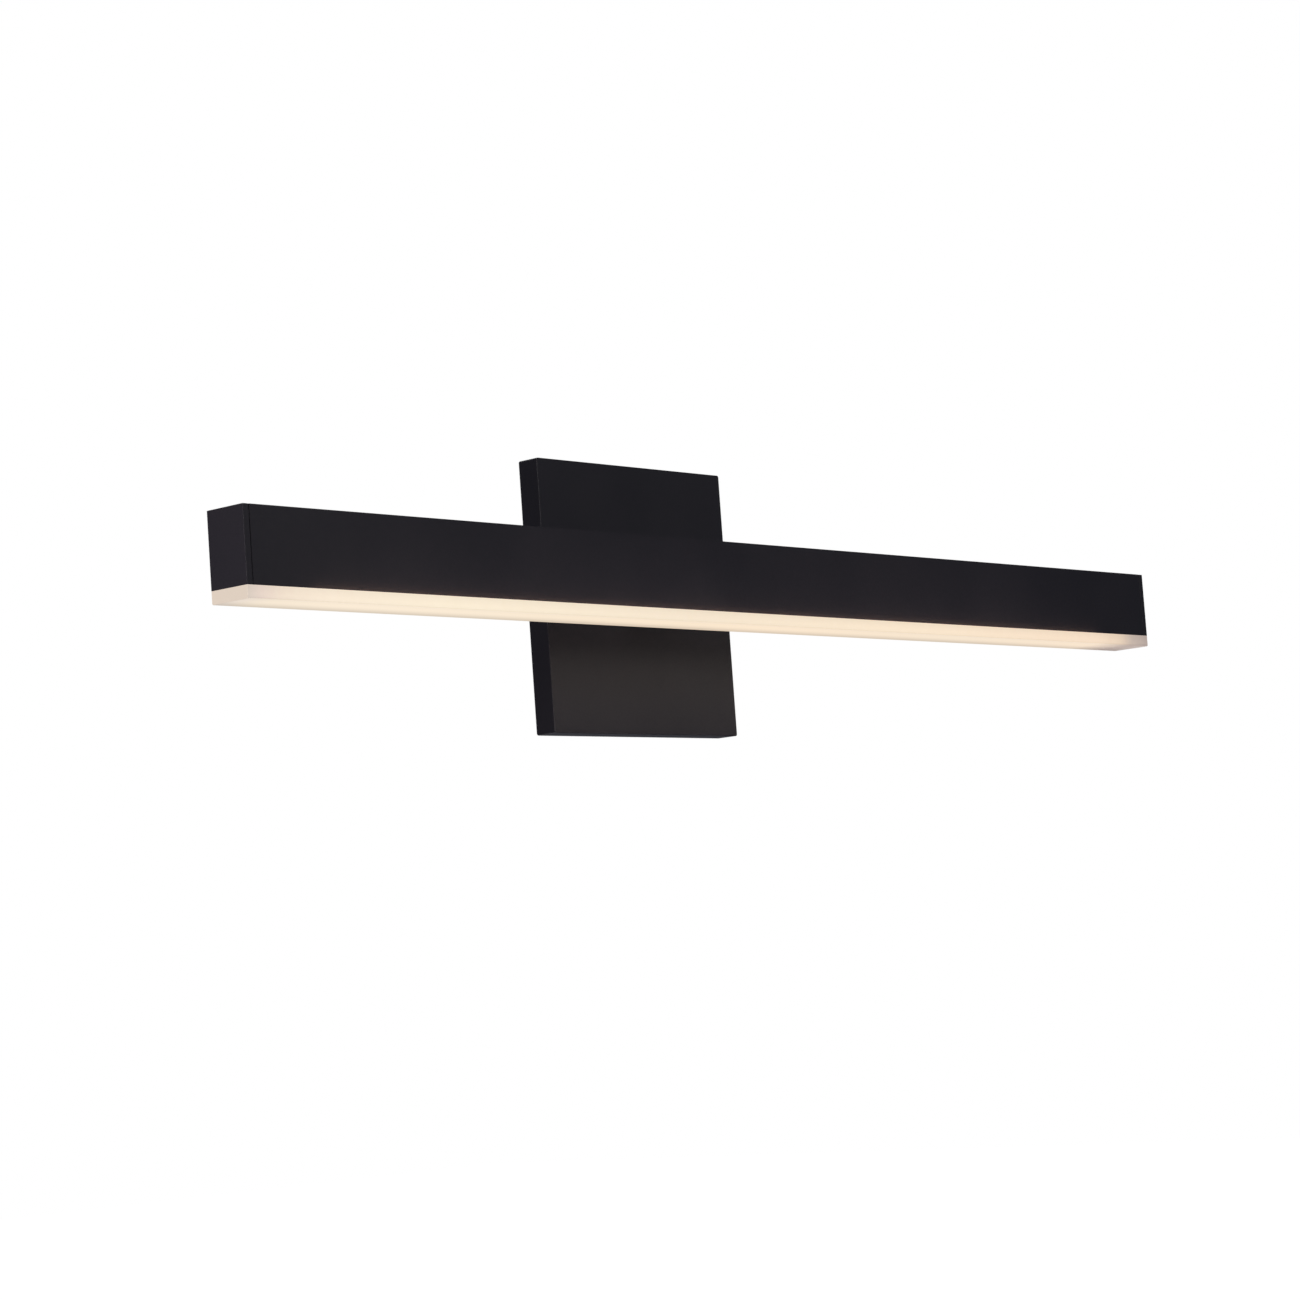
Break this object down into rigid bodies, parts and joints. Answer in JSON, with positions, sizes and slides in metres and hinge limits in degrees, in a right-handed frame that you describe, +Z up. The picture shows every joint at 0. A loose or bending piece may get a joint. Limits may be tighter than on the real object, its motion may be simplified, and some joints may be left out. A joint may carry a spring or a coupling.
{
  "type": "vanity light bar",
  "caption": "Slim rectangular LED light bar with a frosted diffuser along its underside, held off a thin square wall canopy by a hollow standoff arm.",
  "frame": {"origin": "middle of the wall bracket's rear face, on the wall plane, at the centre of the square canopy", "axes": "+X along the bar, +Y into the wall (the light faces -Y), +Z up with the diffuser underneath"},
  "size_m": [0.61, 0.085, 0.125],
  "materials": {
    "black_powder_coat": "satin black powder coat",
    "zinc_steel": "zinc plated",
    "green_steel": "green dyed zinc",
    "white_plastic": "moulded",
    "rubber": "matte",
    "black_insulation": "wire insulation",
    "white_insulation": "wire insulation",
    "green_insulation": "wire insulation",
    "red_insulation": "wire insulation",
    "tray_aluminium": "mill finish",
    "led_board_white": "white solder mask over a metal core",
    "frosted_acrylic": "frosted, lit warm white",
    "driver_case": "moulded",
    "driver_board_green": "solder mask",
    "driver_parts": "taped winding and ferrite",
    "capacitor_sleeve": "shrink sleeve"
  },
  "bodies": {
    "root": {"canopy": "black_powder_coat", "canopy_screw_left": "black_powder_coat", "canopy_screw_right": "black_powder_coat", "standoff_arm": "black_powder_coat", "light_channel": "black_powder_coat", "end_cap_left": "black_powder_coat", "end_cap_right": "black_powder_coat", "end_cap_screw_left": "black_powder_coat", "end_cap_screw_right": "black_powder_coat", "wall_bracket": "zinc_steel", "arm_backing_plate": "zinc_steel", "arm_nut_plate": "zinc_steel", "arm_screw_left": "zinc_steel", "arm_screw_right": "zinc_steel", "arm_washer_left": "zinc_steel", "arm_washer_right": "zinc_steel", "terminal_block_screw": "zinc_steel", "board_screw_1": "zinc_steel", "board_screw_2": "zinc_steel", "board_screw_3": "zinc_steel", "board_screw_4": "zinc_steel", "driver_screw_left": "zinc_steel", "driver_screw_right": "zinc_steel", "ground_screw": "green_steel", "terminal_block": "white_plastic", "board_connector_left": "white_plastic", "board_connector_right": "white_plastic", "canopy_bushing": "rubber", "channel_bushing": "rubber", "driver_input_grommet": "rubber", "driver_output_grommet": "rubber", "lead_line": "black_insulation", "output_lead_negative": "black_insulation", "jumper_lead_negative": "black_insulation", "lead_neutral": "white_insulation", "lead_ground": "green_insulation", "output_lead_positive": "red_insulation", "jumper_lead_positive": "red_insulation", "led_tray": "tray_aluminium", "led_board_left": "led_board_white", "led_board_right": "led_board_white", "diffuser": "frosted_acrylic", "driver_base": "driver_case", "driver_cover": "driver_case", "driver_board": "driver_board_green", "driver_transformer": "driver_parts", "driver_choke": "driver_parts", "driver_capacitor": "capacitor_sleeve"}
  },
  "joints": []
}
